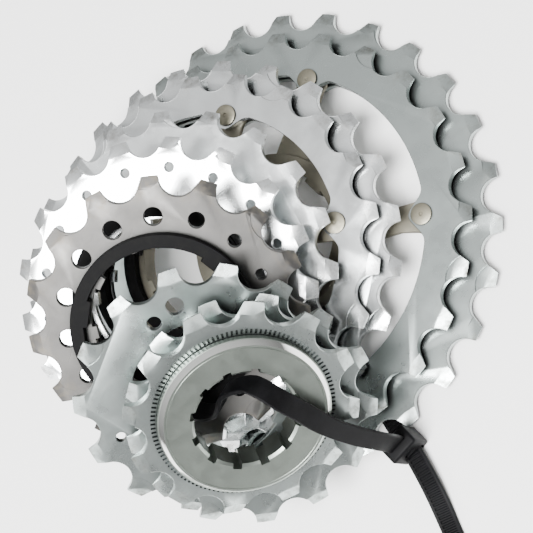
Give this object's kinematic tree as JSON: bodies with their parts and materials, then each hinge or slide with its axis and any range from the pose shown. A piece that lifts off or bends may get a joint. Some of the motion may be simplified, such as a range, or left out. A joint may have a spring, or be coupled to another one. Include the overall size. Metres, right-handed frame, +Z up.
{
  "type": "bicycle cassette, loose",
  "caption": "Loose bicycle cassette fanned out on a cable tie: toothed sprockets, two riveted clusters, plastic spacers and a lockring, each free to turn on its own bore.",
  "frame": {"origin": "bottom centre of the whole object's box, on the surface that the rear rivet heads of the largest cluster stand on", "axes": "+Z up, along the bore of the largest cluster; +Y along the longest extent, from the cable tie's tail towards the open side of the fan; +X sideways, the direction about which the smaller pieces are tilted"},
  "size_m": [0.1184, 0.156, 0.064],
  "materials": {
    "satin_steel": "satin nickel-plated steel",
    "bright_steel": "bright nickel-plated steel",
    "blasted_steel": "matt blasted and worn steel",
    "spider_alloy": "tan-grey anodised alloy",
    "rivet": "dull tan rivet",
    "lockring_steel": "satin face with a polished bevel",
    "spacer_plastic": "moulded black plastic",
    "tie_nylon": "moulded black nylon"
  },
  "bodies": {
    "large_cluster": {"large_spider": "spider_alloy", "large_rear_ring": "satin_steel", "large_front_ring": "satin_steel", "large_rivet_1": "rivet", "large_rivet_2": "rivet", "large_rivet_3": "rivet", "large_rivet_4": "rivet", "large_rivet_5": "rivet", "cable_tie": "tie_nylon"},
    "middle_cluster": {"middle_spider": "spider_alloy", "middle_rear_ring": "bright_steel", "middle_front_ring": "bright_steel", "middle_rivet_1": "rivet", "middle_rivet_2": "rivet", "middle_rivet_3": "rivet", "middle_rivet_4": "rivet", "middle_rivet_5": "rivet"},
    "sprocket_19": {"sprocket_19": "bright_steel"},
    "sprocket_17": {"sprocket_17": "bright_steel"},
    "sprocket_15": {"sprocket_15": "blasted_steel"},
    "sprocket_14": {"sprocket_14": "satin_steel"},
    "sprocket_13": {"sprocket_13": "satin_steel"},
    "sprocket_12": {"sprocket_12": "satin_steel"},
    "lockring": {"lockring": "lockring_steel"},
    "spacer_1": {"spacer_1": "spacer_plastic"},
    "spacer_2": {"spacer_2": "spacer_plastic"},
    "spacer_3": {"spacer_3": "spacer_plastic"},
    "spacer_4": {"spacer_4": "spacer_plastic"}
  },
  "joints": [
    {"name": "middle_cluster_spin", "type": "hinge", "parent": "large_cluster", "child": "middle_cluster", "pos_m": [-0.01068, 0.0246, 0.01357], "axis": [0, -0.0941, 0.9956], "continuous": true},
    {"name": "sprocket_19_spin", "type": "hinge", "parent": "large_cluster", "child": "sprocket_19", "pos_m": [-0.01848, 0.0227, 0.02441], "axis": [0, -0.184, 0.9829], "continuous": true},
    {"name": "sprocket_17_spin", "type": "hinge", "parent": "large_cluster", "child": "sprocket_17", "pos_m": [-0.02058, 0.0176, 0.03322], "axis": [0, -0.3616, 0.9323], "continuous": true},
    {"name": "sprocket_15_spin", "type": "hinge", "parent": "large_cluster", "child": "sprocket_15", "pos_m": [-0.02128, 0.0086, 0.04144], "axis": [0, -0.5807, 0.8141], "continuous": true},
    {"name": "sprocket_14_spin", "type": "hinge", "parent": "large_cluster", "child": "sprocket_14", "pos_m": [-0.02718, -0.0099, 0.0381], "axis": [0, -0.7071, 0.7071], "continuous": true},
    {"name": "sprocket_13_spin", "type": "hinge", "parent": "large_cluster", "child": "sprocket_13", "pos_m": [-0.02398, -0.02, 0.03478], "axis": [0, -0.7193, 0.6947], "continuous": true},
    {"name": "sprocket_12_spin", "type": "hinge", "parent": "large_cluster", "child": "sprocket_12", "pos_m": [-0.02278, -0.0215, 0.0425], "axis": [0, -0.7944, 0.6074], "continuous": true},
    {"name": "lockring_spin", "type": "hinge", "parent": "sprocket_12", "child": "lockring", "pos_m": [-0.02278, -0.0215, 0.0425], "axis": [0, -0.7944, 0.6074], "continuous": true},
    {"name": "spacer_1_spin", "type": "hinge", "parent": "large_cluster", "child": "spacer_1", "pos_m": [-0.01168, 0.02363, 0.01965], "axis": [0, -0.0941, 0.9956], "continuous": true},
    {"name": "spacer_2_spin", "type": "hinge", "parent": "large_cluster", "child": "spacer_2", "pos_m": [-0.01768, 0.02257, 0.02677], "axis": [0, -0.184, 0.9829], "continuous": true},
    {"name": "spacer_3_spin", "type": "hinge", "parent": "large_cluster", "child": "spacer_3", "pos_m": [-0.02118, 0.01694, 0.03549], "axis": [0, -0.3616, 0.9323], "continuous": true},
    {"name": "spacer_4_spin", "type": "hinge", "parent": "large_cluster", "child": "spacer_4", "pos_m": [-0.02298, 0.00675, 0.043], "axis": [0, -0.5807, 0.8141], "continuous": true}
  ]
}
